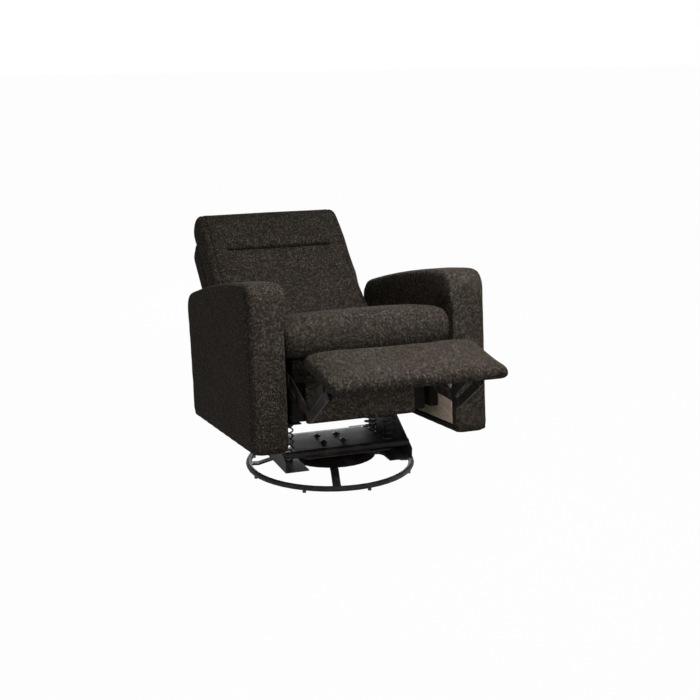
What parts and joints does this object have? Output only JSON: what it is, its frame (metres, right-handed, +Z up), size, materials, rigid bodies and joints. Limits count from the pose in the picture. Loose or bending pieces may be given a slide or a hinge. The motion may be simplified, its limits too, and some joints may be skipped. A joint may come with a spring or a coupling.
{
  "type": "swivel rocker recliner",
  "caption": "Upholstered recliner on a round floor ring that swivels and rocks on coil springs, stored with its footrest linkage out and its back laid down.",
  "frame": {"origin": "on the floor, under the middle of the bounding box; the swivel axis stands 4.4 mm in front of it", "axes": "+Z up, -Y the way the sitter faces, +X to the sitter's left"},
  "size_m": [0.75, 1.5314, 0.7498],
  "materials": {
    "woven_fabric": "coarse dark brown-grey woven tweed with light flecks",
    "black_steel": "black paint, half gloss",
    "zinc_steel": "dull zinc plate",
    "bare_wood": "bare sawn pine and plywood",
    "black_lining": "thin black lining cloth stapled over the boards",
    "black_plastic": "matte black"
  },
  "bodies": {
    "base": {"base_ring": "black_steel", "base_cross": "black_steel", "hub_pan": "black_steel", "glide_1": "black_plastic", "glide_2": "black_plastic", "glide_3": "black_plastic", "glide_4": "black_plastic", "glide_5": "black_plastic", "glide_6": "black_plastic", "glide_7": "black_plastic", "glide_8": "black_plastic"},
    "turntable": {"swivel_bearing": "zinc_steel", "swivel_plate": "black_steel", "front_cross_tube": "black_steel", "rear_cross_bar": "black_steel", "side_bracket_left": "black_steel", "side_bracket_right": "black_steel", "rocker_track_left": "black_steel", "rocker_track_right": "black_steel", "front_spring_left": "black_steel", "front_spring_right": "black_steel", "rear_spring_left": "black_steel", "rear_spring_right": "black_steel"},
    "chair": {"rocker_mount_left": "black_steel", "rocker_mount_right": "black_steel", "rocker_cam_left": "black_steel", "rocker_cam_right": "black_steel", "seat_deck": "black_lining", "rear_rail": "black_lining", "front_rail": "black_lining", "seat_rail_left": "black_lining", "seat_rail_right": "black_lining", "front_panel": "woven_fabric", "seat_cushion": "woven_fabric", "arm_left": "woven_fabric", "arm_right": "woven_fabric", "arm_board_left": "bare_wood", "arm_board_right": "bare_wood", "hinge_plate_left": "black_steel", "hinge_plate_right": "black_steel", "side_plate_left": "black_steel", "side_plate_right": "black_steel"},
    "back": {"back_cushion": "woven_fabric", "back_shell": "woven_fabric", "back_strap_left": "black_steel", "back_strap_right": "black_steel"},
    "rear_swing": {"rear_swing_link_left": "black_steel", "rear_swing_link_right": "black_steel", "torque_tube": "black_steel"},
    "front_swing": {"front_swing_link_left": "black_steel", "front_swing_link_right": "black_steel"},
    "carrier": {"carrier_link_left": "black_steel", "carrier_link_right": "black_steel"},
    "footrest_link": {"footrest_link_left": "black_steel", "footrest_link_right": "black_steel"},
    "footrest": {"footrest_board": "bare_wood", "footrest_pad": "woven_fabric", "footrest_bracket_left": "black_steel", "footrest_bracket_right": "black_steel"}
  },
  "joints": [
    {"name": "swivel", "type": "hinge", "parent": "base", "child": "turntable", "pos_m": [0, -0.0044, 0], "axis": [0, 0, 1], "continuous": true},
    {"name": "rock", "type": "hinge", "parent": "turntable", "child": "chair", "pos_m": [0, -0.0044, 0.2], "axis": [1, 0, 0], "range_deg": [-3, 13], "stiffness_Nm_per_rad": 600, "springref_deg": 2.46, "deforming": ["front_spring_left", "front_spring_right", "rear_spring_left", "rear_spring_right"]},
    {"name": "back_recline", "type": "hinge", "parent": "chair", "child": "back", "pos_m": [0, 0.31493, 0.41325], "axis": [1, 0, 0], "range_deg": [0, 29]},
    {"name": "front_swing", "type": "hinge", "parent": "chair", "child": "front_swing", "pos_m": [0, -0.29596, 0.39316], "axis": [1, 0, 0], "range_deg": [0, 118]},
    {"name": "rear_swing", "type": "hinge", "parent": "chair", "child": "rear_swing", "pos_m": [0, -0.18553, 0.39103], "axis": [1, 0, 0], "range_deg": [-1, 119]},
    {"name": "carrier", "type": "hinge", "parent": "front_swing", "child": "carrier", "pos_m": [0, -0.44941, 0.34122], "axis": [1, 0, 0], "range_deg": [-119, 1]},
    {"name": "footrest_link", "type": "hinge", "parent": "front_swing", "child": "footrest_link", "pos_m": [0, -0.49204, 0.32679], "axis": [1, 0, 0], "range_deg": [-105.4, 1]},
    {"name": "footrest", "type": "hinge", "parent": "carrier", "child": "footrest", "pos_m": [0, -0.58136, 0.44029], "axis": [1, 0, 0], "range_deg": [-1, 80.7]}
  ],
  "couplings": [
    {"joint": "rear_swing", "follows": "front_swing", "ratio": 1},
    {"joint": "carrier", "follows": "front_swing", "ratio": -1},
    {"joint": "footrest_link", "follows": "front_swing", "ratio": -0.88403},
    {"joint": "footrest", "follows": "front_swing", "ratio": 0.67523}
  ]
}
